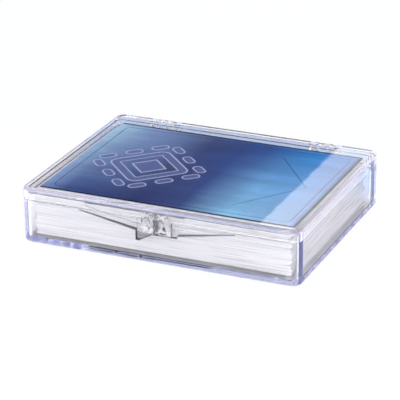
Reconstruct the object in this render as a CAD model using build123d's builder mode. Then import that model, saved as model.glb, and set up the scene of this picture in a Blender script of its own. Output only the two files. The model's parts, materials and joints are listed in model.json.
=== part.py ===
"""Clear hinged card case, closed, with the stack of cards that it stores.

The origin is at the middle of the underside, +X runs along the long side, +Z is up and
the latch faces -Y. The tray and the lid are two thin moulded shells. The lid turns on
pins moulded into its rounded back edge, which snap into ears that stand on the tray.
"""
import math
import os

from build123d import *

# The cards, which the case is sized around
card_length = 88.9
card_width = 63.5
card_thickness = 0.283
card_corner_radius = 0.8
white_card_count = 49
stack_side_shift = -0.35
stack_drift_x = 0.35
stack_drift_y = 0.1
card_jitter_x = 0.16
card_jitter_y = 0.08
drift_step_x = 23.0
drift_step_y = 31.0
jitter_rate = 7.3

# The room around the cards
end_clearance = 1.9
depth_clearance = 4.8
headroom = 1.25
stack_front_gap = 2.3
top_card_back_gap = 0.45

# The tray
wall_thickness = 2.0
floor_thickness = 2.0
pad_height = 0.15
pad_radius = 1.0
pad_offset_x = 24.0
pad_offset_y = 16.0
stack_stand = 1.4
lip_thickness = 0.75
lip_height = 2.2
corner_radius = 3.4
cavity_corner_radius = 1.6
foot_rounding = 1.2
cut_overrun = 5.0

# The lid
plate_thickness = 1.5
skirt_gap = 0.12
parting_gap = 0.2
crown_rounding = 1.3

# The hinges at the back
back_wall_thickness = 1.3
bead_radius = 1.45
trough_gap = 0.3
lid_back_inset = 0.1
back_wall_drop = 2.2
rear_wall_thickness = 1.6
hinge_offset = 29.5
knuckle_width = 7.4
ear_thickness = 1.5
ear_gap = 0.2
ear_slot_rise = 2.4
pin_radius = 0.8
pin_fit = 0.05
snap_mouth = 1.2

# The thumb dip and the latch pocket in the tray's front wall
dip_half_width = 28.5
dip_drop = 4.0
pocket_half_width = 7.2
pocket_drop = 5.0
pocket_toe_drop = 7.5
pocket_toe_width = 1.2
pocket_ramp_x = 1.4
web_thickness = 0.55

# The two latch lugs on the lid
lug_inner_x = 0.85
lug_width = 4.3
lug_floor_gap = 0.3
ridge_height = 1.0
ridge_rise = 0.15

# Sizes that follow
stack_height = (white_card_count + 1) * card_thickness
stack_bottom = floor_thickness + pad_height
stack_top = stack_bottom + stack_height
parting_height = stack_top - stack_stand
cavity_length = card_length + 2 * end_clearance
cavity_depth = card_width + depth_clearance
case_length = cavity_length + 2 * wall_thickness
case_height = stack_top + headroom + plate_thickness
hinge_strip = back_wall_thickness + trough_gap + 2 * bead_radius + lid_back_inset
case_depth = wall_thickness + cavity_depth + hinge_strip
front_y = -case_depth / 2
back_y = case_depth / 2
cavity_front_y = front_y + wall_thickness
cavity_back_y = cavity_front_y + cavity_depth
cavity_middle_y = (cavity_front_y + cavity_back_y) / 2
axis_y = back_y - lid_back_inset - bead_radius
axis_z = parting_height
skirt_thickness = wall_thickness - lip_thickness - skirt_gap
lid_bottom = parting_height + parting_gap
plate_bottom = case_height - plate_thickness
rear_wall_top = axis_z - back_wall_drop
recess_depth = wall_thickness - lip_thickness
pocket_depth = wall_thickness - web_thickness
lug_drop = pocket_drop - lug_floor_gap
hinge_middles = [side * hinge_offset for side in (-1, 1)]
ear_offset = knuckle_width / 2 + ear_gap + ear_thickness / 2
ear_middles = [middle + side * ear_offset for middle in hinge_middles for side in (-1, 1)]

os.makedirs("parts", exist_ok=True)


def shuffled(index, drift, jitter, step):
    """How far card number index lies from the middle of its stack, along one axis."""
    turn = math.radians(index * step)
    return drift * math.sin(turn) + jitter * math.sin(turn * jitter_rate)


def make_card(name, middle_x, middle_y, bottom_z):
    """One card lying flat, written as a piece of its own."""
    with BuildPart() as card:
        with BuildSketch(Plane((middle_x, middle_y, bottom_z))):
            RectangleRounded(card_length, card_width, card_corner_radius)
        extrude(amount=card_thickness)
    card.part.label = name
    export_step(card.part, f"parts/{name}.step")


# The thumb dip: a shallow V under the lid's front edge that deepens towards the latch
with BuildPart() as thumb_dip:
    with BuildSketch(Plane.XZ.offset(-front_y)):
        with BuildLine():
            Polyline(
                (-dip_half_width, parting_height),
                (-pocket_half_width, parting_height - dip_drop),
                (pocket_half_width, parting_height - dip_drop),
                (dip_half_width, parting_height),
                close=True,
            )
        make_face()
    extrude(amount=wall_thickness, both=True)
    with BuildSketch(Plane.XY):
        with BuildLine():
            Polyline(
                (-dip_half_width, front_y),
                (-pocket_half_width, front_y + recess_depth),
                (pocket_half_width, front_y + recess_depth),
                (dip_half_width, front_y),
                (dip_half_width, front_y - wall_thickness),
                (-dip_half_width, front_y - wall_thickness),
                close=True,
            )
        make_face()
    extrude(amount=case_height, mode=Mode.INTERSECT)

# The latch pocket: its floor falls away to a toe at the left of the lugs
with BuildPart() as latch_pocket:
    with BuildSketch(Plane.XZ.offset(-front_y)):
        with BuildLine():
            Polyline(
                (-pocket_half_width, parting_height),
                (-pocket_half_width, parting_height - pocket_toe_drop),
                (pocket_toe_width - pocket_half_width, parting_height - pocket_toe_drop),
                (-pocket_ramp_x, parting_height - pocket_drop),
                (pocket_half_width, parting_height - pocket_drop),
                (pocket_half_width, parting_height),
                close=True,
            )
        make_face()
    extrude(amount=pocket_depth, both=True)

# The tray
with BuildPart() as base_tray:
    with BuildSketch(Plane.XY):
        RectangleRounded(case_length, case_depth, corner_radius)
    extrude(amount=parting_height)
    fillet(base_tray.edges().group_by(Axis.Z)[0], radius=foot_rounding)

    # Lip that stands up inside the lid's skirt
    with BuildSketch(Plane.XY.offset(parting_height)):
        with Locations((0, cavity_middle_y)):
            RectangleRounded(
                cavity_length + 2 * lip_thickness,
                cavity_depth + 2 * lip_thickness,
                cavity_corner_radius + lip_thickness,
            )
    extrude(amount=lip_height)

    # Back of the tray, open above the rear wall for the lid's rounded edge
    with BuildSketch(Plane.XY.offset(rear_wall_top)):
        with Locations((0, back_y)):
            Rectangle(case_length + 2 * cut_overrun, 2 * (hinge_strip - back_wall_thickness))
    extrude(amount=case_height, mode=Mode.SUBTRACT)
    with BuildSketch(Plane.XY.offset(floor_thickness)):
        with Locations((0, cavity_back_y + back_wall_thickness)):
            Rectangle(
                cavity_length,
                hinge_strip - back_wall_thickness - rear_wall_thickness,
                align=(Align.CENTER, Align.MIN),
            )
    extrude(amount=case_height, mode=Mode.SUBTRACT)

    # Hinge ears: round heads on webs that cross the gap between the two back walls
    for middle in ear_middles:
        with BuildSketch(Plane.YZ.offset(middle - ear_thickness / 2)):
            with Locations((axis_y, axis_z)):
                Circle(bead_radius)
            with Locations((axis_y, floor_thickness)):
                Rectangle(2 * bead_radius, axis_z - floor_thickness, align=(Align.CENTER, Align.MIN))
            with Locations((cavity_back_y + back_wall_thickness, floor_thickness)):
                Rectangle(
                    bead_radius + trough_gap,
                    rear_wall_top - floor_thickness,
                    align=(Align.MIN, Align.MIN),
                )
        extrude(amount=ear_thickness)

    # Snap sockets for the pins, open towards the back
    for middle in ear_middles:
        with BuildSketch(Plane.YZ.offset(middle - ear_thickness)):
            with Locations((axis_y, axis_z)):
                Circle(pin_radius + pin_fit)
                Rectangle(2 * bead_radius, snap_mouth, align=(Align.MIN, Align.CENTER))
        extrude(amount=2 * ear_thickness, mode=Mode.SUBTRACT)

    # Room for the cards
    with BuildSketch(Plane.XY.offset(floor_thickness)):
        with Locations((0, cavity_middle_y)):
            RectangleRounded(cavity_length, cavity_depth, cavity_corner_radius)
    extrude(amount=case_height, mode=Mode.SUBTRACT)

    # Low round pads that the stack stands on
    with BuildSketch(Plane.XY.offset(floor_thickness)):
        with Locations((0, cavity_middle_y)):
            with GridLocations(2 * pad_offset_x, 2 * pad_offset_y, 2, 2):
                Circle(pad_radius)
    extrude(amount=pad_height)

    add(thumb_dip.part, mode=Mode.SUBTRACT)
    add(latch_pocket.part, mode=Mode.SUBTRACT)

base_tray.part.label = "base_tray"
export_step(base_tray.part, "parts/base_tray.step")

# The lid: its back edge is rounded about the hinge axis
with BuildPart() as lid:
    with BuildSketch(Plane.YZ):
        with Locations((front_y, lid_bottom)):
            Rectangle(
                case_depth - lid_back_inset,
                case_height - lid_bottom,
                align=(Align.MIN, Align.MIN),
            )
        with Locations((axis_y, axis_z)):
            Circle(bead_radius)
            Rectangle(2 * bead_radius, lid_bottom - axis_z, align=(Align.CENTER, Align.MIN))
    extrude(amount=case_length / 2, both=True)
    with BuildSketch(Plane.XY):
        with Locations((0, -lid_back_inset / 2)):
            RectangleRounded(case_length, case_depth - lid_back_inset, corner_radius)
    extrude(amount=case_height, mode=Mode.INTERSECT)
    fillet(lid.edges().group_by(Axis.Z)[-1], radius=crown_rounding)

    # Hollow that takes the tray's lip
    hollow_front_y = front_y + skirt_thickness
    hollow_depth = axis_y - bead_radius - hollow_front_y
    with BuildSketch(Plane.XY):
        with Locations((0, hollow_front_y + hollow_depth / 2)):
            RectangleRounded(
                case_length - 2 * skirt_thickness,
                hollow_depth,
                cavity_corner_radius + lip_thickness + skirt_gap,
            )
    extrude(amount=plate_bottom, mode=Mode.SUBTRACT)

    # Slots that pass the hinge ears
    for middle in ear_middles:
        with BuildSketch(Plane.XY.offset(axis_z + ear_slot_rise)):
            with Locations((middle, back_y)):
                Rectangle(ear_thickness + 2 * ear_gap, 2 * (hinge_strip - back_wall_thickness))
        extrude(amount=-case_height, mode=Mode.SUBTRACT)

    # Hinge pins across the slots
    for middle in ear_middles:
        with BuildSketch(Plane.YZ.offset(middle - ear_thickness)):
            with Locations((axis_y, axis_z)):
                Circle(pin_radius)
        extrude(amount=2 * ear_thickness)

    # Latch lugs, each with a ridge inside its lower end
    for side in (-1, 1):
        lug_middle = side * (lug_inner_x + lug_width / 2)
        with BuildSketch(Plane.YZ.offset(lug_middle - lug_width / 2)):
            with Locations((front_y, parting_height - lug_drop)):
                Rectangle(
                    skirt_thickness,
                    lug_drop + lip_height,
                    align=(Align.MIN, Align.MIN),
                )
            with Locations((front_y + skirt_thickness, parting_height - lug_drop + ridge_height)):
                Circle(ridge_rise)
        extrude(amount=lug_width)

lid.part.label = "lid"
export_step(lid.part, "parts/lid.step")

# The white cards, pushed towards the front wall, none quite above the next
white_middle_y = cavity_front_y + stack_front_gap + card_width / 2
for number in range(white_card_count):
    make_card(
        f"white_card_{number + 1:02d}",
        stack_side_shift + shuffled(number, stack_drift_x, card_jitter_x, drift_step_x),
        white_middle_y + shuffled(number, stack_drift_y, card_jitter_y, drift_step_y),
        stack_bottom + number * card_thickness,
    )

# The printed card on top, pushed towards the back wall
make_card(
    "printed_card",
    0,
    cavity_back_y - top_card_back_gap - card_width / 2,
    stack_bottom + white_card_count * card_thickness,
)
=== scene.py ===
"""Looks of a clear hinged card case, closed over a stack of cards with a printed card on top.

The tray and the lid are crystal polystyrene, moulded and left polished, so one refracting
finish serves both, in two grades. The cards inside are paper board: blank ones, which show as
a stack seen edge on, and one with a glossy print on its face.
"""

from __future__ import annotations

import json
import logging
import math
from dataclasses import dataclass
from enum import Enum

import bpy
from mathutils import Matrix, Vector

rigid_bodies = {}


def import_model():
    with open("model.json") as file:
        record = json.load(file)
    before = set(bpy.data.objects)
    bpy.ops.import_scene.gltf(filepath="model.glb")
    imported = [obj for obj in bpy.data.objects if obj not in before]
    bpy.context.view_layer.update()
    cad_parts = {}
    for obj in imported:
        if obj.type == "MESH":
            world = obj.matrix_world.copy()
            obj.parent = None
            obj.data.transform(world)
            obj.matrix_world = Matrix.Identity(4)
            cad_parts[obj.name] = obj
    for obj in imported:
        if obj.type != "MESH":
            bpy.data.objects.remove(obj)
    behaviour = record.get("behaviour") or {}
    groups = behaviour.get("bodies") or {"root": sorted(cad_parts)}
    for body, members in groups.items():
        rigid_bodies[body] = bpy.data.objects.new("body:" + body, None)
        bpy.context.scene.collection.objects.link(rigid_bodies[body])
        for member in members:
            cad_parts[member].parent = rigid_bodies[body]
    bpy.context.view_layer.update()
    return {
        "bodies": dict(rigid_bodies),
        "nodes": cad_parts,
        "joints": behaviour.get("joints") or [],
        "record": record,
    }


MM = 0.001

log = logging.getLogger("card_case")

Colour = tuple[float, float, float, float]
Span = tuple[str, float, float]
Spans = tuple[Span, ...]
Stops = tuple[tuple[float, str], ...]
Pair = tuple[float, float]
Triple = tuple[float, float, float]
Tree = bpy.types.NodeTree
Socket = bpy.types.NodeSocket
Measures = dict[str, Socket]

WHITE: Colour = (1.0, 1.0, 1.0, 1.0)


def srgb(code: str) -> Colour:
    """Turn an sRGB hex colour into the linear colour that a shader socket takes.

    Args:
        code: Six hex digits, such as "7b80b4".

    Returns:
        Linear red, green and blue, with an alpha of 1.
    """
    values = [int(code[k : k + 2], 16) / 255 for k in (0, 2, 4)]
    red, green, blue = [v / 12.92 if v <= 0.04045 else ((v + 0.055) / 1.055) ** 2.4 for v in values]
    return (red, green, blue, 1.0)


def add_node(
    tree: Tree, kind: str, inputs: dict | None = None, **settings: object
) -> bpy.types.Node:
    """Add one shader node with its settings, its constants and its links.

    Args:
        tree: The node tree that takes the node.
        kind: The node's type name, such as "ShaderNodeMath".
        inputs: Input name or number to a value, or to the output socket to link there.
        settings: Properties of the node, such as operation="ADD".

    Returns:
        The new node.
    """
    node = tree.nodes.new(kind)
    for name, value in settings.items():
        setattr(node, name, value)
    for key, value in (inputs or {}).items():
        if isinstance(value, bpy.types.NodeSocket):
            tree.links.new(value, node.inputs[key])
        else:
            node.inputs[key].default_value = value
    return node


def new_material(name: str) -> bpy.types.Material:
    """Make a node material that is still empty.

    Args:
        name: What the material and its making are called.

    Returns:
        The material, without nodes.
    """
    material = bpy.data.materials.new(name)
    material.use_nodes = True
    material.node_tree.nodes.clear()
    return material


def dress(piece: bpy.types.Object, material: bpy.types.Material) -> None:
    """Give a piece one material all over."""
    piece.data.materials.clear()
    piece.data.materials.append(material)


class Join(Enum):
    """How marks are joined: all of them have to hold, or any one of them."""

    ALL = "MULTIPLY"
    ANY = "MAXIMUM"


@dataclass(frozen=True)
class ShadePatch:
    """A place on a moulding tinted with painted shade, some with a rougher finish than the polish
    around it.

    The spans are in millimetres for x, y, z, side (how far from the middle, along x) and slant
    (the height, less what the thumb dip's floor climbs up to there), and without a unit for nx,
    ny and nz, how far the face looks along each axis, either way. A patch is drawn where every
    one of its spans holds.
    """

    spans: Spans
    # The colour of the painted shade that tints the plastic there.
    colour: str
    roughness: float = 0.0


@dataclass(frozen=True)
class ClearPolystyrene:
    """Crystal polystyrene, injection moulded in a polished mould: clear, with a violet-blue toner.

    The toner is too weak to see through one wall, but it colours light that runs along a wall,
    so the edges of the case look lavender. The melt leaves the faces very slightly wavy, and
    ripples more on the small parts, where it had to flow round corners, so that they sparkle.
    """

    name: str
    toner: str
    toner_depth_mm: float
    wave_mm: float
    wave_height_mm: float
    # Places where painted shade greys the clear plastic.
    shade_patches: tuple[ShadePatch, ...]
    ripples: tuple[Spans, ...]
    ripple_mm: float = 1.6
    ripple_height_mm: float = 1.3
    ior: float = 1.59
    density_margin: float = 1.25
    dip_slope: float = 0.18779

    def make(self) -> bpy.types.Material:
        """Build the refracting material with its toner as an absorbing volume.

        Returns:
            The plastic.
        """
        material = new_material(self.name)
        tree = material.node_tree
        place = add_node(tree, "ShaderNodeTexCoord").outputs["Object"]
        measures = self._measures(tree, place)
        # The base colour carries painted shade where each patch lies.
        colour, roughness = self._painted_shade_and_roughness(tree, measures)
        surface = add_node(
            tree,
            "ShaderNodeBsdfPrincipled",
            {
                "Base Color": colour,
                "Roughness": roughness,
                "IOR": self.ior,
                "Transmission Weight": 1.0,
                "Normal": self._relief(tree, place, measures),
            },
        )
        # An absorbing volume loses what its colour lacks, so the toner's losses become that lack.
        losses = [-math.log(value) / (self.toner_depth_mm * MM) for value in srgb(self.toner)[:3]]
        density = self.density_margin * max(losses)
        kept = tuple(1 - loss / density for loss in losses)
        volume = add_node(
            tree,
            "ShaderNodeVolumeAbsorption",
            {"Color": (*kept, 1.0), "Density": density},
        )
        add_node(
            tree,
            "ShaderNodeOutputMaterial",
            {"Surface": surface.outputs["BSDF"], "Volume": volume.outputs["Volume"]},
        )
        return material

    def _measures(self, tree: Tree, place: Socket) -> Measures:
        """Give the sockets that a patch's spans are read from.

        Args:
            tree: The material's node tree.
            place: Object coordinates.

        Returns:
            The sockets by name: places in millimetres, and the way the face looks.
        """
        scaled = add_node(
            tree,
            "ShaderNodeVectorMath",
            {0: place, "Scale": 1 / MM},
            operation="SCALE",
        )
        spot = add_node(tree, "ShaderNodeSeparateXYZ", {0: scaled.outputs["Vector"]})
        # A face seen from inside the plastic has its normal turned round, so only its size counts.
        look = add_node(tree, "ShaderNodeNewGeometry").outputs["True Normal"]
        lie = add_node(tree, "ShaderNodeVectorMath", {0: look}, operation="ABSOLUTE")
        way = add_node(tree, "ShaderNodeSeparateXYZ", {0: lie.outputs["Vector"]})
        off_middle = add_node(tree, "ShaderNodeMath", {0: spot.outputs["X"]}, operation="ABSOLUTE")
        side = off_middle.outputs[0]
        # The thumb dip's floor climbs evenly from the pocket to both sides.
        climb = add_node(tree, "ShaderNodeMath", {0: side, 1: self.dip_slope}, operation="MULTIPLY")
        slant = add_node(
            tree,
            "ShaderNodeMath",
            {0: spot.outputs["Z"], 1: climb.outputs[0]},
            operation="SUBTRACT",
        )
        measures = {"side": side, "slant": slant.outputs[0]}
        for axis in "xyz":
            measures[axis] = spot.outputs[axis.upper()]
            measures["n" + axis] = way.outputs[axis.upper()]
        return measures

    def _relief(self, tree: Tree, place: Socket, measures: Measures) -> Socket:
        """Bend the faces by their long waves, and by short ripples on the small parts.

        Args:
            tree: The material's node tree.
            place: Object coordinates.
            measures: The sockets that the spans are read from.

        Returns:
            The bent normal.
        """
        wave = add_node(
            tree,
            "ShaderNodeTexNoise",
            {"Vector": place, "Scale": 1 / (self.wave_mm * MM), "Detail": 1.0},
        )
        bump = add_node(
            tree,
            "ShaderNodeBump",
            {"Height": wave.outputs["Fac"], "Strength": 1.0, "Distance": self.wave_height_mm * MM},
        )
        ripple = add_node(
            tree,
            "ShaderNodeTexNoise",
            {"Vector": place, "Scale": 1 / (self.ripple_mm * MM), "Detail": 0.0},
        )
        marks = [self._inside(tree, measures, spans) for spans in self.ripples]
        return add_node(
            tree,
            "ShaderNodeBump",
            {
                "Height": ripple.outputs["Fac"],
                "Strength": self._join(tree, marks, Join.ANY),
                "Distance": self.ripple_height_mm * MM,
                "Normal": bump.outputs["Normal"],
            },
        ).outputs["Normal"]

    def _painted_shade_and_roughness(self, tree: Tree, measures: Measures) -> tuple[Socket | Colour, Socket | float]:
        """Tint the base colour with painted shade where each patch lies, and set its roughness
        there.

        Args:
            tree: The material's node tree.
            measures: The sockets that the spans are read from.

        Returns:
            The base colour with its painted shade, and the roughness.
        """
        colour: Socket | Colour = WHITE
        roughness: Socket | float = 0.0
        for patch in self.shade_patches:
            inside = self._inside(tree, measures, patch.spans)
            colour = add_node(
                tree,
                "ShaderNodeMix",
                {"Factor": inside, 6: colour, 7: srgb(patch.colour)},
                data_type="RGBA",
            ).outputs[2]
            roughness = add_node(
                tree,
                "ShaderNodeMath",
                {0: inside, 1: patch.roughness, 2: roughness},
                operation="MULTIPLY_ADD",
            ).outputs[0]
        return colour, roughness

    def _inside(self, tree: Tree, measures: Measures, spans: Spans) -> Socket:
        """Mark where every measure lies in its span.

        Args:
            tree: The material's node tree.
            measures: The sockets that the spans are read from.
            spans: Each measure's name, its lowest and its highest value.

        Returns:
            A socket that is 1 where all hold and 0 elsewhere.
        """
        marks = [
            add_node(
                tree,
                "ShaderNodeMath",
                {0: measures[name], 1: (low + high) / 2, 2: (high - low) / 2},
                operation="COMPARE",
            ).outputs[0]
            for name, low, high in spans
        ]
        return self._join(tree, marks, Join.ALL)

    def _join(self, tree: Tree, marks: list[Socket], how: Join) -> Socket:
        """Join marks into one.

        Args:
            tree: The material's node tree.
            marks: Sockets that are 1 or 0.
            how: Whether all of them have to be 1 or any of them.

        Returns:
            A socket that is 1 where that holds and 0 elsewhere.
        """
        together = marks[0]
        for mark in marks[1:]:
            together = add_node(
                tree,
                "ShaderNodeMath",
                {0: together, 1: mark},
                operation=how.value,
            ).outputs[0]
        return together


# How far a face looks along an axis: mostly along it, or mostly across it.
ALONG = (0.6, 1.1)
ACROSS = (0.0, 0.6)

# The front wall at the thumb dip and the latch pocket, from just behind its outer face to just
# behind the pocket's face.
DIP_DEPTH = ("y", -37.43, -35.9)
DIP_WALL = (("side", 0.0, 28.4), DIP_DEPTH, ("z", 7.2, 14.85))
# The lid's front skirt with the latch lugs.
SKIRT_DEPTH = ("y", -37.6, -36.0)
# The outer face of the right wall, which the lid's skirt continues.
RIGHT_FACE = (("x", 48.3, 48.4), ("nx", *ALONG))

TRAY_FINISH = ClearPolystyrene(
    name="clear_polystyrene_tray_grade",
    toner="7b80b4",
    toner_depth_mm=200.0,
    wave_mm=7.0,
    wave_height_mm=0.004,
    shade_patches=(
        # Painted shade on the toe of the latch pocket, where the wall is thinnest.
        ShadePatch((*DIP_WALL, ("x", -28.4, -1.4), ("z", 7.2, 9.9)), "8c8c92"),
        # Painted shade on the strip of the pocket's wall that shows between the lugs.
        ShadePatch((("x", -1.4, 0.3), DIP_DEPTH, ("z", 10.6, 17.0), ("ny", *ALONG)), "74747c"),
        # A thin line of painted shade on the wall left of the latch, parallel to the dip's floor
        # line.
        ShadePatch((("x", -25.0, -6.0), DIP_DEPTH, ("ny", *ALONG), ("slant", 11.0, 11.5)), "c4c4d0"),
        # A line of painted shade on the rounding along the dip's floor line.
        ShadePatch(
            (("side", 7.2, 27.0), ("y", -37.5, -35.9), ("ny", *ALONG), ("slant", 9.24, 9.7)),
            "7c7c82",
        ),
        # The ledges round the dip and the pocket that face up and sideways: tinted dark with
        # painted shade, and satin from the spark erosion that cut them into the mould.
        ShadePatch((*DIP_WALL, ("ny", *ACROSS)), "2c2c30", 0.25),
        # Painted shade on the lip's top edge behind the dip.
        ShadePatch((("x", -25.5, 9.6), ("y", -36.4, -35.3), ("z", 16.75, 17.2)), "6c6c72", 0.2),
        # A painted shadow line along the right wall's foot, where the wall turns into the floor.
        ShadePatch((*RIGHT_FACE, ("y", -33.8, 32.4), ("z", 2.5, 3.1)), "2c3048"),
        # A column of painted shade at the right wall's back end, where the cavity's corner starts
        # to turn.
        ShadePatch((*RIGHT_FACE, ("y", 28.9, 32.4), ("z", 3.1, 14.95)), "585c6a"),
    ),
    ripples=(
        # The hinge ears.
        (("side", 23.5, 35.0), ("y", 34.2, 37.5), ("z", 12.0, 16.7)),
    ),
)

LID_FINISH = ClearPolystyrene(
    name="clear_polystyrene_lid_grade",
    toner="a094ac",
    toner_depth_mm=380.0,
    wave_mm=12.0,
    wave_height_mm=0.002,
    shade_patches=(
        # Painted shade on the sides of the two latch lugs.
        ShadePatch((("side", 0.5, 5.5), SKIRT_DEPTH, ("z", 9.8, 14.95), ("nx", *ALONG)), "63636b", 0.15),
        # A line of painted shade on the skirt's lower edge.
        ShadePatch((SKIRT_DEPTH, ("z", 14.9, 15.3), ("nz", *ALONG), ("side", 6.0, 46.0)), "7c84a4", 0.2),
        # A column of painted shade at the right skirt's back end, above the tray's.
        ShadePatch((*RIGHT_FACE, ("y", 28.7, 32.0), ("z", 15.0, 17.6)), "646878"),
    ),
    ripples=(
        # The latch lugs, and the pins and slots of the hinges.
        (("side", 0.7, 5.3), SKIRT_DEPTH, ("z", 10.0, 17.4)),
        (("side", 24.0, 35.0), ("y", 34.2, 37.6), ("z", 12.0, 17.0)),
    ),
)


@dataclass(frozen=True)
class WhiteBoard:
    """Blank card stock: smooth coated board, die cut, with uneven cut edges.

    The faces are even and white. Along the cut edges run long thin streaks of painted shade, for
    the shade where an edge lies a little deeper than its neighbours, so that the stack reads as
    many cards; they are painted stronger on the short sides than on the long ones. One card is too
    thin to show, so the streaks are drawn coarser than the cards are.
    """

    name: str = "white_board_die_cut"
    face: str = "f7f7fa"
    # The near-black that the streaks' painted shade mixes in.
    edge_shade: str = "1c1e26"
    streak_length_mm: float = 80.0
    streak_height_mm: float = 0.9
    streak_level: float = 0.52
    streak_reach: float = 0.038
    streak_core: float = 0.005
    long_side_share: float = 0.28
    roughness: float = 0.6
    ior: float = 1.5

    def make(self) -> bpy.types.Material:
        """Build the board, with its streaks on the cut edges.

        Returns:
            The board.
        """
        material = new_material(self.name)
        tree = material.node_tree
        place = add_node(tree, "ShaderNodeTexCoord").outputs["Object"]
        # Painted shade: the streaks darken the cut edges toward a near-black.
        edge_shaded = add_node(
            tree,
            "ShaderNodeMath",
            {0: self._streaks(tree, place), 1: self._cut_edges(tree)},
            operation="MULTIPLY",
        )
        tone = add_node(
            tree,
            "ShaderNodeMix",
            {"Factor": edge_shaded.outputs[0], 6: srgb(self.face), 7: srgb(self.edge_shade)},
            data_type="RGBA",
        )
        surface = add_node(
            tree,
            "ShaderNodeBsdfPrincipled",
            {"Base Color": tone.outputs[2], "Roughness": self.roughness, "IOR": self.ior},
        )
        add_node(tree, "ShaderNodeOutputMaterial", {"Surface": surface.outputs["BSDF"]})
        return material

    def _streaks(self, tree: Tree, place: Socket) -> Socket:
        """Mark thin streaks of painted shade along one level of a noise stretched along the stack.

        Args:
            tree: The material's node tree.
            place: Object coordinates.

        Returns:
            A socket that is 1 in the middle of a streak and 0 between the streaks.
        """
        long_way = 1 / (self.streak_length_mm * MM)
        stretched = add_node(
            tree,
            "ShaderNodeMapping",
            {"Vector": place, "Scale": (long_way, long_way, 1 / (self.streak_height_mm * MM))},
        )
        noise = add_node(
            tree,
            "ShaderNodeTexNoise",
            {"Vector": stretched.outputs["Vector"], "Scale": 1.0, "Detail": 2.0, "Roughness": 0.6},
        )
        above = add_node(
            tree,
            "ShaderNodeMath",
            {0: noise.outputs["Fac"], 1: self.streak_level},
            operation="SUBTRACT",
        )
        off_level = add_node(tree, "ShaderNodeMath", {0: above.outputs[0]}, operation="ABSOLUTE")
        return add_node(
            tree,
            "ShaderNodeMapRange",
            {
                "Value": off_level.outputs[0],
                "From Min": self.streak_reach,
                "From Max": self.streak_core,
            },
            interpolation_type="SMOOTHSTEP",
        ).outputs["Result"]

    def _cut_edges(self, tree: Tree) -> Socket:
        """Mark the cut edges, the short sides' in full and the long sides' in part.

        Args:
            tree: The material's node tree.

        Returns:
            A socket from 0 on the faces to 1 on the short sides' cut edges.
        """
        look = add_node(tree, "ShaderNodeNewGeometry").outputs["Normal"]
        normal = add_node(tree, "ShaderNodeSeparateXYZ", {0: look})
        upright = add_node(tree, "ShaderNodeMath", {0: normal.outputs["Z"]}, operation="ABSOLUTE")
        cut = add_node(
            tree,
            "ShaderNodeMath",
            {0: 1.0, 1: upright.outputs[0]},
            operation="SUBTRACT",
        )
        sideways = add_node(tree, "ShaderNodeMath", {0: normal.outputs["X"]}, operation="ABSOLUTE")
        share = add_node(
            tree,
            "ShaderNodeMapRange",
            {"Value": sideways.outputs[0], "To Min": self.long_side_share, "To Max": 1.0},
        )
        return add_node(
            tree,
            "ShaderNodeMath",
            {0: share.outputs["Result"], 1: cut.outputs[0]},
            operation="MULTIPLY",
        ).outputs[0]


@dataclass(frozen=True)
class Band:
    """A band of one tint that follows an outline: its middle, outwards, and half its width."""

    middle_mm: float
    half_mm: float
    tint: str
    cover: float = 1.0


EMBLEM_LINE = "c3cbf0"
EMBLEM_FILL = "6f7cb4"


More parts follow.
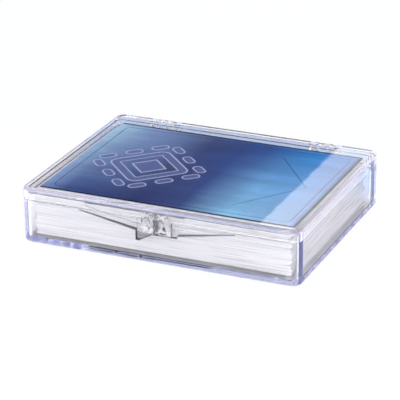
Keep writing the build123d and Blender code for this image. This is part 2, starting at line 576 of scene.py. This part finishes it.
@dataclass(frozen=True)
class PrintedBoard:
    """The printed card: four-colour offset print under a gloss coat, over a white core.

    The face runs from sky blue over navy to light blue, and carries a generic design: nested
    rounded diamonds in a ring of dashes, a thin frame line and a thin chevron. The core shows
    as a white line at the cut edge. The lid above dulls the print, so its colours are written
    a little stronger than they look.
    """

    name: str = "printed_board_gloss_coated"
    middle_mm: Pair = (0.0, 0.65)
    half_length_mm: float = 44.45
    half_width_mm: float = 31.75
    back_stops: Stops = (
        (-44, "bce4ff"),
        (-30, "92aede"),
        (-8, "47588c"),
        (12, "2f54a6"),
        (30, "2c92e4"),
        (42, "6894d6"),
        (44.4, "3c5c8c"),
    )
    front_stops: Stops = (
        (-44, "88a2d6"),
        (-36, "42589a"),
        (-12, "333f74"),
        (4, "44568e"),
        (21, "9cd8ff"),
        (42, "a2c0ea"),
        (44.4, "5c7cb4"),
    )
    drift_length_mm: float = 30.0
    drift_width_mm: float = 5.0
    drift_turn: float = 0.25
    drift_noise: Pair = (0.35, 0.7)
    drift_lift: Pair = (0.88, 1.14)
    emblem_middle_mm: Pair = (-19.0, -2.0)
    emblem_turn_deg: float = 45.0
    diamond_half_mm: Pair = (10.5, 10.5)
    diamond_corner_mm: float = 3.0
    diamond_bands: tuple[Band, ...] = (
        Band(-1.5, 1.5, EMBLEM_FILL, 0.75),
        Band(-8.6, 2.4, EMBLEM_FILL, 0.75),
        Band(0.0, 0.3, EMBLEM_LINE),
        Band(-3.0, 0.22, EMBLEM_LINE),
        Band(-6.2, 0.3, EMBLEM_LINE),
    )
    dash_ring_mm: float = 14.2
    dash_step_mm: float = 4.7
    dash_half_mm: Pair = (1.5, 2.9)
    dash_corner_mm: float = 1.4
    dash_bands: tuple[Band, ...] = (
        Band(-0.8, 0.8, EMBLEM_FILL, 0.7),
        Band(0.0, 0.26, EMBLEM_LINE),
    )
    hairline: str = "22305e"
    hairline_cover: float = 0.75
    frame_inset_mm: float = 3.2
    frame_corner_mm: float = 2.0
    frame_half_mm: float = 0.16
    chevron_tip_mm: float = 36.0
    chevron_slope: float = 0.75
    chevron_reach_mm: float = 22.0
    chevron_half_mm: float = 0.2
    # The painted shade along the print's edge.
    rim_shade: str = "141a3a"
    rim_shift_mm: float = 0.7
    rim_corner_mm: float = 0.8
    rim_fade_mm: Pair = (-1.15, -0.75)
    cut_edge: str = "d9dce6"
    upward_from: float = 0.5
    roughness: float = 0.3
    ior: float = 1.5
    specular_level: float = 0.04

    def make(self) -> bpy.types.Material:
        """Build the print, its white cut edge and its gloss coat.

        Returns:
            The printed board.
        """
        material = new_material(self.name)
        tree = material.node_tree
        place = add_node(tree, "ShaderNodeTexCoord").outputs["Object"]
        card = add_node(
            tree,
            "ShaderNodeMapping",
            {
                "Vector": place,
                "Location": (-self.middle_mm[0], -self.middle_mm[1], 0.0),
                "Scale": (1 / MM, 1 / MM, 0.0),
            },
        ).outputs["Vector"]
        split = add_node(tree, "ShaderNodeSeparateXYZ", {0: card})
        x, y = split.outputs["X"], split.outputs["Y"]
        ground = self._ground(tree, x, y, place)
        drawn = self._emblem(tree, card, ground)
        lined = self._hairlines(tree, card, x, y, drawn)
        look = add_node(tree, "ShaderNodeNewGeometry").outputs["Normal"]
        normal = add_node(tree, "ShaderNodeSeparateXYZ", {0: look})
        face = add_node(
            tree,
            "ShaderNodeMath",
            {0: normal.outputs["Z"], 1: self.upward_from},
            operation="GREATER_THAN",
        )
        whole = add_node(
            tree,
            "ShaderNodeMix",
            {"Factor": face.outputs[0], 6: srgb(self.cut_edge), 7: self._shaded_rim(tree, card, lined)},
            data_type="RGBA",
        )
        surface = add_node(
            tree,
            "ShaderNodeBsdfPrincipled",
            {
                "Base Color": whole.outputs[2],
                "Roughness": self.roughness,
                "IOR": self.ior,
                "Specular IOR Level": self.specular_level,
            },
        )
        add_node(tree, "ShaderNodeOutputMaterial", {"Surface": surface.outputs["BSDF"]})
        return material

    def _ground(self, tree: Tree, x: Socket, y: Socket, place: Socket) -> Socket:
        """Colour the ground: one ramp along each long edge, blended, with faint drifting streaks.

        Args:
            tree: The material's node tree.
            x: Millimetres along the card from its middle.
            y: Millimetres across the card from its middle.
            place: Object coordinates.

        Returns:
            The colour of the ground.
        """
        along = add_node(
            tree,
            "ShaderNodeMapRange",
            {"Value": x, "From Min": -self.half_length_mm, "From Max": self.half_length_mm},
        ).outputs["Result"]
        across = add_node(
            tree,
            "ShaderNodeMapRange",
            {"Value": y, "From Min": -self.half_width_mm, "From Max": self.half_width_mm},
        ).outputs["Result"]
        blend = add_node(
            tree,
            "ShaderNodeMix",
            {
                "Factor": across,
                6: self._ramp(tree, along, self.front_stops),
                7: self._ramp(tree, along, self.back_stops),
            },
            data_type="RGBA",
        )
        length, width = 1 / (self.drift_length_mm * MM), 1 / (self.drift_width_mm * MM)
        drift = add_node(
            tree,
            "ShaderNodeMapping",
            {
                "Vector": place,
                "Rotation": (0, 0, self.drift_turn),
                "Scale": (length, width, length),
            },
        )
        noise = add_node(
            tree,
            "ShaderNodeTexNoise",
            {"Vector": drift.outputs["Vector"], "Scale": 1.0, "Detail": 3.0},
        )
        lift = add_node(
            tree,
            "ShaderNodeMapRange",
            {
                "Value": noise.outputs["Fac"],
                "From Min": self.drift_noise[0],
                "From Max": self.drift_noise[1],
                "To Min": self.drift_lift[0],
                "To Max": self.drift_lift[1],
            },
        )
        return add_node(
            tree,
            "ShaderNodeVectorMath",
            {0: blend.outputs[2], "Scale": lift.outputs["Result"]},
            operation="SCALE",
        ).outputs["Vector"]

    def _ramp(self, tree: Tree, along: Socket, stops: Stops) -> Socket:
        """Run through the stops along the card.

        Args:
            tree: The material's node tree.
            along: 0 at the card's left end and 1 at its right end.
            stops: Millimetres from the card's middle, each with its colour.

        Returns:
            The colour at each point.
        """
        ramp = add_node(tree, "ShaderNodeValToRGB", {"Fac": along})
        elements = ramp.color_ramp.elements
        for number, (at, colour) in enumerate(stops):
            spot = (at + self.half_length_mm) / (2 * self.half_length_mm)
            element = elements[number] if number < 2 else elements.new(spot)
            element.position = spot
            element.color = srgb(colour)
        return ramp.outputs["Color"]

    def _rounded_box(self, tree: Tree, place: Socket, half: Pair, radius: float) -> Socket:
        """Measure how far each point lies outside a rounded box about the origin.

        Args:
            tree: The material's node tree.
            place: Coordinates in millimetres, with Z at 0.
            half: Half of the box's length and width.
            radius: Corner radius.

        Returns:
            The signed distance, negative inside.
        """
        folded = add_node(tree, "ShaderNodeVectorMath", {0: place}, operation="ABSOLUTE")
        past = add_node(
            tree,
            "ShaderNodeVectorMath",
            {0: folded.outputs[0], 1: (half[0] - radius, half[1] - radius, 0.0)},
            operation="SUBTRACT",
        )
        outside = add_node(
            tree,
            "ShaderNodeVectorMath",
            {0: past.outputs[0], 1: (0, 0, 0)},
            operation="MAXIMUM",
        )
        reach = add_node(tree, "ShaderNodeVectorMath", {0: outside.outputs[0]}, operation="LENGTH")
        sides = add_node(tree, "ShaderNodeSeparateXYZ", {0: past.outputs[0]})
        deepest = add_node(
            tree,
            "ShaderNodeMath",
            {0: sides.outputs["X"], 1: sides.outputs["Y"]},
            operation="MAXIMUM",
        )
        inside = add_node(
            tree,
            "ShaderNodeMath",
            {0: deepest.outputs[0], 1: 0.0},
            operation="MINIMUM",
        )
        both = add_node(
            tree,
            "ShaderNodeMath",
            {0: reach.outputs["Value"], 1: inside.outputs[0]},
            operation="ADD",
        )
        return add_node(
            tree,
            "ShaderNodeMath",
            {0: both.outputs[0], 1: radius},
            operation="SUBTRACT",
        ).outputs[0]

    def _paint(
        self, tree: Tree, distance: Socket, bands: tuple[Band, ...], below: Socket
    ) -> Socket:
        """Paint bands that follow one outline.

        Args:
            tree: The material's node tree.
            distance: Millimetres from the outline.
            bands: The bands, in the order that they are painted.
            below: The colour below.

        Returns:
            The colour with the bands on it.
        """
        colour = below
        for band in bands:
            within = add_node(
                tree,
                "ShaderNodeMath",
                {0: distance, 1: band.middle_mm, 2: band.half_mm},
                operation="COMPARE",
            )
            mark = add_node(
                tree,
                "ShaderNodeMath",
                {0: within.outputs[0], 1: band.cover},
                operation="MULTIPLY",
            )
            colour = add_node(
                tree,
                "ShaderNodeMix",
                {"Factor": mark.outputs[0], 6: colour, 7: srgb(band.tint)},
                data_type="RGBA",
            ).outputs[2]
        return colour

    def _emblem(self, tree: Tree, card: Socket, ground: Socket) -> Socket:
        """Draw the nested rounded diamonds and their ring of dashes over the ground.

        Args:
            tree: The material's node tree.
            card: Millimetres from the card's middle.
            ground: The colour below.

        Returns:
            The colour with the emblem drawn.
        """
        centred = add_node(
            tree,
            "ShaderNodeMapping",
            {
                "Vector": card,
                "Location": (-self.emblem_middle_mm[0], -self.emblem_middle_mm[1], 0.0),
            },
        )
        diamond = add_node(
            tree,
            "ShaderNodeVectorRotate",
            {
                "Vector": centred.outputs["Vector"],
                "Axis": (0, 0, 1),
                "Angle": math.radians(self.emblem_turn_deg),
            },
        ).outputs["Vector"]
        outline = self._rounded_box(tree, diamond, self.diamond_half_mm, self.diamond_corner_mm)
        nested = self._paint(tree, outline, self.diamond_bands, ground)
        # All four sides fold onto one, and the dashes along it onto one dash.
        folded = add_node(tree, "ShaderNodeVectorMath", {0: diamond}, operation="ABSOLUTE")
        sides = add_node(tree, "ShaderNodeSeparateXYZ", {0: folded.outputs[0]})
        both = {0: sides.outputs["X"], 1: sides.outputs["Y"]}
        far = add_node(tree, "ShaderNodeMath", both, operation="MAXIMUM")
        near = add_node(tree, "ShaderNodeMath", both, operation="MINIMUM")
        out = add_node(
            tree,
            "ShaderNodeMath",
            {0: far.outputs[0], 1: self.dash_ring_mm},
            operation="SUBTRACT",
        )
        step = add_node(
            tree,
            "ShaderNodeMath",
            {0: near.outputs[0], 1: self.dash_step_mm},
            operation="PINGPONG",
        )
        spot = add_node(tree, "ShaderNodeCombineXYZ", {"X": out.outputs[0], "Y": step.outputs[0]})
        dash = self._rounded_box(
            tree, spot.outputs["Vector"], self.dash_half_mm, self.dash_corner_mm
        )
        return self._paint(tree, dash, self.dash_bands, nested)

    def _hairlines(self, tree: Tree, card: Socket, x: Socket, y: Socket, ground: Socket) -> Socket:
        """Draw the thin frame and the thin chevron.

        Args:
            tree: The material's node tree.
            card: Millimetres from the card's middle.
            x: Millimetres along the card.
            y: Millimetres across the card.
            ground: The colour below.

        Returns:
            The colour with the lines drawn.
        """
        half = (self.half_length_mm - self.frame_inset_mm, self.half_width_mm - self.frame_inset_mm)
        frame = self._rounded_box(tree, card, half, self.frame_corner_mm)
        side = add_node(tree, "ShaderNodeMath", {0: y}, operation="ABSOLUTE").outputs[0]
        slope = add_node(
            tree,
            "ShaderNodeMath",
            {0: side, 1: self.chevron_slope},
            operation="MULTIPLY",
        )
        lean = add_node(tree, "ShaderNodeMath", {0: x, 1: slope.outputs[0]}, operation="ADD")
        on_frame, on_chevron = (
            add_node(
                tree,
                "ShaderNodeMath",
                {0: distance, 1: middle, 2: half_line},
                operation="COMPARE",
            ).outputs[0]
            for distance, middle, half_line in (
                (frame, 0.0, self.frame_half_mm),
                (lean.outputs[0], self.chevron_tip_mm, self.chevron_half_mm),
            )
        )
        within = add_node(
            tree,
            "ShaderNodeMath",
            {0: side, 1: self.chevron_reach_mm},
            operation="LESS_THAN",
        )
        chevron = add_node(
            tree,
            "ShaderNodeMath",
            {0: on_chevron, 1: within.outputs[0]},
            operation="MULTIPLY",
        )
        lines = add_node(
            tree,
            "ShaderNodeMath",
            {0: on_frame, 1: chevron.outputs[0]},
            operation="MAXIMUM",
        )
        strength = add_node(
            tree,
            "ShaderNodeMath",
            {0: lines.outputs[0], 1: self.hairline_cover},
            operation="MULTIPLY",
        )
        return add_node(
            tree,
            "ShaderNodeMix",
            {"Factor": strength.outputs[0], 6: ground, 7: srgb(self.hairline)},
            data_type="RGBA",
        ).outputs[2]

    def _shaded_rim(self, tree: Tree, card: Socket, ground: Socket) -> Socket:
        """Paint a band of shade along the print's edge except at the left, where it lies past the
        cut.

        Args:
            tree: The material's node tree.
            card: Millimetres from the card's middle.
            ground: The colour below.

        Returns:
            The colour with painted shade along the edge.
        """
        shifted = add_node(
            tree,
            "ShaderNodeVectorMath",
            {0: card, 1: (self.rim_shift_mm, 0.0, 0.0)},
            operation="ADD",
        )
        half = (self.half_length_mm + self.rim_shift_mm, self.half_width_mm)
        outline = self._rounded_box(tree, shifted.outputs["Vector"], half, self.rim_corner_mm)
        edge = add_node(
            tree,
            "ShaderNodeMapRange",
            {"Value": outline, "From Min": self.rim_fade_mm[0], "From Max": self.rim_fade_mm[1]},
        )
        return add_node(
            tree,
            "ShaderNodeMix",
            {"Factor": edge.outputs["Result"], 6: ground, 7: srgb(self.rim_shade)},
            data_type="RGBA",
        ).outputs[2]


@dataclass
class Viewpoint:
    """The photograph's camera: a long lens to the right of the latch, a little above the case."""

    azimuth_deg: float = 23.74
    elevation_deg: float = 23.28
    roll_deg: float = -0.58
    distance_mm: float = 695.9
    aim_right_mm: float = -0.26
    focal_pixels: float = 2092.0
    image_pixels: float = 400.0
    centre_right_pixels: float = 2.82
    centre_down_pixels: float = 21.19
    sensor_mm: float = 36.0
    clip_start_mm: float = 10.0

    def build(self) -> None:
        """Place the camera and make it the scene's own."""
        azimuth, elevation, roll = (
            math.radians(angle) for angle in (self.azimuth_deg, self.elevation_deg, self.roll_deg)
        )
        back = Vector(
            (
                math.sin(azimuth) * math.cos(elevation),
                -math.cos(azimuth) * math.cos(elevation),
                math.sin(elevation),
            )
        )
        level_right = Vector((math.cos(azimuth), math.sin(azimuth), 0))
        level_up = back.cross(level_right)
        right = level_right * math.cos(roll) + level_up * math.sin(roll)
        up = level_up * math.cos(roll) - level_right * math.sin(roll)
        place = (back * self.distance_mm + right * self.aim_right_mm) * MM
        data = bpy.data.cameras.new("photo_camera")
        data.sensor_width = self.sensor_mm
        data.lens = self.focal_pixels / self.image_pixels * self.sensor_mm
        data.shift_x = -self.centre_right_pixels / self.image_pixels
        data.shift_y = self.centre_down_pixels / self.image_pixels
        data.clip_start = self.clip_start_mm * MM
        camera = bpy.data.objects.new("photo_camera", data)
        bpy.context.scene.collection.objects.link(camera)
        rows = [[right[k], up[k], back[k], place[k]] for k in range(3)]
        camera.matrix_world = Matrix([*rows, [0, 0, 0, 1]])
        bpy.context.scene.camera = camera


@dataclass(frozen=True)
class Softbox:
    """One large soft lamp of the studio, its place and sides in metres."""

    name: str
    place: Triple
    width: float
    height: float
    watts: float

    def build(self) -> None:
        """Hang the lamp at its place, facing the case."""
        data = bpy.data.lights.new(self.name, "AREA")
        data.shape = "RECTANGLE"
        data.size = self.width
        data.size_y = self.height
        data.energy = self.watts
        lamp = bpy.data.objects.new(self.name, data)
        lamp.location = self.place
        lamp.rotation_euler = (-Vector(self.place)).to_track_quat("-Z", "Y").to_euler()
        bpy.context.scene.collection.objects.link(lamp)


@dataclass
class Studio:
    """White paper floor, white background, soft lamps, and a small dark flag behind the case.

    A lid that lies flat mirrors what stands behind the case. The flag hangs where the lid would
    otherwise mirror the white room over the print, and its slanting right edge leaves one pale
    band. Light runs far inside the clear walls before it comes out, so it may bounce often.
    """

    floor_size: float = 6.0
    floor_drop_mm: float = 0.3
    paper_white_share: float = 0.97
    paper: str = "cdccd2"
    paper_shaded: str = "aab8d2"
    shade_from_mm: float = 25.0
    shade_to_mm: float = 60.0
    paper_lit: str = "fafaff"
    light_from_mm: float = 42.0
    light_to_mm: float = 48.0
    room: str = "fdfcfe"
    front_way: Triple = (0.71, -0.70, 0.0)
    front_fade: Pair = (-0.55, 0.35)
    room_behind: float = 1.2
    room_ahead: float = 1.52
    key_way: Triple = (0.27, -0.67, 0.69)
    key_radius_deg: float = 32.0
    key_softness_deg: float = 6.0
    key_strength: float = 2.6
    mirrored_most: float = 0.88
    mirrored_low_ahead: float = 0.42
    low_fade: Pair = (0.38, 0.28)
    ahead_fade: Pair = (0.3, -0.1)
    flag: str = "0c0d10"
    flag_left_deg: float = 23.8
    flag_up_deg: float = 22.0
    flag_radius_deg: float = 8.0
    flag_softness_deg: float = 2.5
    flag_edge: Triple = (0.755, 0.0, 0.656)
    flag_edge_softness: float = 0.0006
    bounces: int = 400
    transparent_bounces: int = 16
    lamps: tuple[Softbox, ...] = (
        Softbox("overhead_softbox", (-0.15, -0.1, 0.8), 0.9, 0.7, 1.0),
        Softbox("front_softbox", (-0.5, -1.0, 0.45), 0.8, 0.6, 2.0),
    )

    def build(self) -> None:
        """Lay the floor, hang the lamps and light the room."""
        scene = bpy.context.scene
        scene.view_settings.view_transform = "Standard"
        scene.cycles.max_bounces = self.bounces
        scene.cycles.glossy_bounces = self.bounces
        scene.cycles.transmission_bounces = self.bounces
        scene.cycles.transparent_max_bounces = self.transparent_bounces
        bpy.ops.object.select_all(action="DESELECT")
        place = (0, 0, -self.floor_drop_mm * MM)
        bpy.ops.mesh.primitive_plane_add(size=self.floor_size, location=place)
        floor = bpy.context.active_object
        floor.name = "studio_floor"
        dress(floor, self._floor_material())
        for lamp in self.lamps:
            lamp.build()
        self._light_room(scene)

    def _floor_material(self) -> bpy.types.Material:
        """White paper: white to the camera, with the case's shadow in what its walls show of it.

        What the case's clear walls bend into view is toned: the paper lies in shade behind the
        case, and in a strip of light under the right wall.

        Returns:
            The paper.
        """
        material = new_material("studio_paper")
        tree = material.node_tree
        path = add_node(tree, "ShaderNodeLightPath")
        share = add_node(
            tree,
            "ShaderNodeMath",
            {0: path.outputs["Is Camera Ray"], 1: self.paper_white_share},
            operation="MULTIPLY",
        )
        spot = add_node(tree, "ShaderNodeTexCoord").outputs["Object"]
        place = add_node(tree, "ShaderNodeSeparateXYZ", {0: spot})
        behind = add_node(
            tree,
            "ShaderNodeMapRange",
            {
                "Value": place.outputs["Y"],
                "From Min": self.shade_from_mm * MM,
                "From Max": self.shade_to_mm * MM,
            },
            interpolation_type="SMOOTHSTEP",
        )
        tone = add_node(
            tree,
            "ShaderNodeMix",
            {"Factor": behind.outputs["Result"], 6: srgb(self.paper), 7: srgb(self.paper_shaded)},
            data_type="RGBA",
        )
        under_wall = add_node(
            tree,
            "ShaderNodeMath",
            {
                0: place.outputs["X"],
                1: (self.light_from_mm + self.light_to_mm) / 2 * MM,
                2: (self.light_to_mm - self.light_from_mm) / 2 * MM,
            },
            operation="COMPARE",
        )
        lit = add_node(
            tree,
            "ShaderNodeMix",
            {"Factor": under_wall.outputs[0], 6: tone.outputs[2], 7: srgb(self.paper_lit)},
            data_type="RGBA",
        )
        paper = add_node(tree, "ShaderNodeBsdfDiffuse", {"Color": lit.outputs[2]})
        glow = add_node(tree, "ShaderNodeEmission", {"Color": WHITE, "Strength": 1.0})
        mixed = add_node(
            tree,
            "ShaderNodeMixShader",
            {0: share.outputs[0], 1: paper.outputs[0], 2: glow.outputs[0]},
        )
        add_node(tree, "ShaderNodeOutputMaterial", {"Surface": mixed.outputs[0]})
        return material

    def _light_room(self, scene: bpy.types.Scene) -> None:
        """Give the room its soft light and its flag, and the camera a white background.

        Args:
            scene: The scene that takes the room as its world.
        """
        world = bpy.data.worlds.new("studio_room")
        scene.world = world
        world.use_nodes = True
        tree = world.node_tree
        tree.nodes.clear()
        way = add_node(tree, "ShaderNodeTexCoord").outputs["Generated"]
        path = add_node(tree, "ShaderNodeLightPath")
        tint = add_node(
            tree,
            "ShaderNodeMix",
            {"Factor": self._flag_mark(tree, way), 6: srgb(self.room), 7: srgb(self.flag)},
            data_type="RGBA",
        )
        strength = self._strength(tree, way)
        capped = add_node(
            tree,
            "ShaderNodeMath",
            {0: strength, 1: self._mirrored_most(tree, way)},
            operation="MINIMUM",
        )
        # A ray that has gone through the plastic counts as glossy too, and isn't capped.
        mirrored = add_node(
            tree,
            "ShaderNodeMath",
            {0: path.outputs["Is Glossy Ray"], 1: path.outputs["Is Transmission Ray"]},
            operation="SUBTRACT",
            use_clamp=True,
        )
        seen = add_node(
            tree,
            "ShaderNodeMix",
            {"Factor": mirrored.outputs[0], "A": strength, "B": capped.outputs[0]},
        )
        room = add_node(
            tree,
            "ShaderNodeBackground",
            {"Color": tint.outputs[2], "Strength": seen.outputs["Result"]},
        )
        white = add_node(tree, "ShaderNodeBackground", {"Color": WHITE, "Strength": 1.0})
        mixed = add_node(
            tree,
            "ShaderNodeMixShader",
            {0: path.outputs["Is Camera Ray"], 1: room.outputs[0], 2: white.outputs[0]},
        )
        add_node(tree, "ShaderNodeOutputWorld", {"Surface": mixed.outputs[0]})

    def _flag_mark(self, tree: Tree, way: Socket) -> Socket:
        """Mark the flag: a round one, cut off along a slant at its right.

        Args:
            tree: The world's node tree.
            way: The direction looked in.

        Returns:
            A socket that is 1 on the flag and 0 beside it.
        """
        left, up = math.radians(self.flag_left_deg), math.radians(self.flag_up_deg)
        middle = (-math.sin(left) * math.cos(up), math.cos(left) * math.cos(up), math.sin(up))
        near = add_node(tree, "ShaderNodeVectorMath", {0: way, 1: middle}, operation="DOT_PRODUCT")
        disc = add_node(
            tree,
            "ShaderNodeMapRange",
            {
                "Value": near.outputs["Value"],
                "From Min": math.cos(math.radians(self.flag_radius_deg + self.flag_softness_deg)),
                "From Max": math.cos(math.radians(self.flag_radius_deg)),
            },
            interpolation_type="SMOOTHSTEP",
        )
        lean = add_node(
            tree,
            "ShaderNodeVectorMath",
            {0: way, 1: self.flag_edge},
            operation="DOT_PRODUCT",
        )
        cut = add_node(
            tree,
            "ShaderNodeMapRange",
            {
                "Value": lean.outputs["Value"],
                "From Min": self.flag_edge_softness,
                "From Max": -self.flag_edge_softness,
            },
        )
        return add_node(
            tree,
            "ShaderNodeMath",
            {0: disc.outputs["Result"], 1: cut.outputs["Result"]},
            operation="MULTIPLY",
        ).outputs[0]

    def _strength(self, tree: Tree, way: Socket) -> Socket:
        """Light the room: brighter ahead of the case than behind it, with a broad key light ahead.

        Args:
            tree: The world's node tree.
            way: The direction looked in.

        Returns:
            The strength in each direction.
        """
        toward_front, toward_key = (
            add_node(
                tree,
                "ShaderNodeVectorMath",
                {0: way, 1: middle},
                operation="DOT_PRODUCT",
            ).outputs["Value"]
            for middle in (self.front_way, self.key_way)
        )
        ahead = add_node(
            tree,
            "ShaderNodeMapRange",
            {
                "Value": toward_front,
                "From Min": self.front_fade[0],
                "From Max": self.front_fade[1],
                "To Min": self.room_behind,
                "To Max": self.room_ahead,
            },
            interpolation_type="SMOOTHSTEP",
        )
        key = add_node(
            tree,
            "ShaderNodeMapRange",
            {
                "Value": toward_key,
                "From Min": math.cos(math.radians(self.key_radius_deg + self.key_softness_deg)),
                "From Max": math.cos(math.radians(self.key_radius_deg - self.key_softness_deg)),
                "To Max": self.key_strength,
            },
            interpolation_type="SMOOTHSTEP",
        )
        return add_node(
            tree,
            "ShaderNodeMath",
            {0: ahead.outputs["Result"], 1: key.outputs["Result"]},
            operation="ADD",
        ).outputs[0]

    def _mirrored_most(self, tree: Tree, way: Socket) -> Socket:
        """Cap the room where a face mirrors it, most of all low down ahead, to let the inside show.

        Args:
            tree: The world's node tree.
            way: The direction looked in.

        Returns:
            The highest strength that a mirroring face sees.
        """
        parts = add_node(tree, "ShaderNodeSeparateXYZ", {0: way})
        low, ahead = (
            add_node(
                tree,
                "ShaderNodeMapRange",
                {"Value": parts.outputs[axis], "From Min": fade[0], "From Max": fade[1]},
            ).outputs["Result"]
            for axis, fade in (("Z", self.low_fade), ("Y", self.ahead_fade))
        )
        low_ahead = add_node(tree, "ShaderNodeMath", {0: low, 1: ahead}, operation="MULTIPLY")
        return add_node(
            tree,
            "ShaderNodeMix",
            {"Factor": low_ahead.outputs[0], "A": self.mirrored_most, "B": self.mirrored_low_ahead},
        ).outputs["Result"]


@dataclass
class Shells:
    """The two moulded shells: the tray, and the lid that turns on its hinge ears."""

    nodes: dict[str, bpy.types.Object]
    tray: str = "base_tray"
    lid: str = "lid"

    def build(self) -> None:
        """Dress both shells, each in its own grade."""
        dress(self.nodes[self.tray], TRAY_FINISH.make())
        dress(self.nodes[self.lid], LID_FINISH.make())


@dataclass
class CardStack:
    """The stored cards: a printed one on top, and blank ones under it."""

    nodes: dict[str, bpy.types.Object]
    top: str = "printed_card"
    blank: str = "white_card_"

    def build(self) -> None:
        """Dress every card."""
        dress(self.nodes[self.top], PrintedBoard().make())
        board = WhiteBoard().make()
        for name, node in self.nodes.items():
            if name.startswith(self.blank):
                dress(node, board)


def main() -> None:
    """Build the studio and the case."""
    logging.basicConfig(level=logging.INFO, format="%(message)s")
    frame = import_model()
    Viewpoint().build()
    Studio().build()
    Shells(frame["nodes"]).build()
    CardStack(frame["nodes"]).build()
    for name, node in frame["nodes"].items():
        log.info("%s: %s", name, node.data.materials[0].name)


if __name__ == "__main__":
    main()
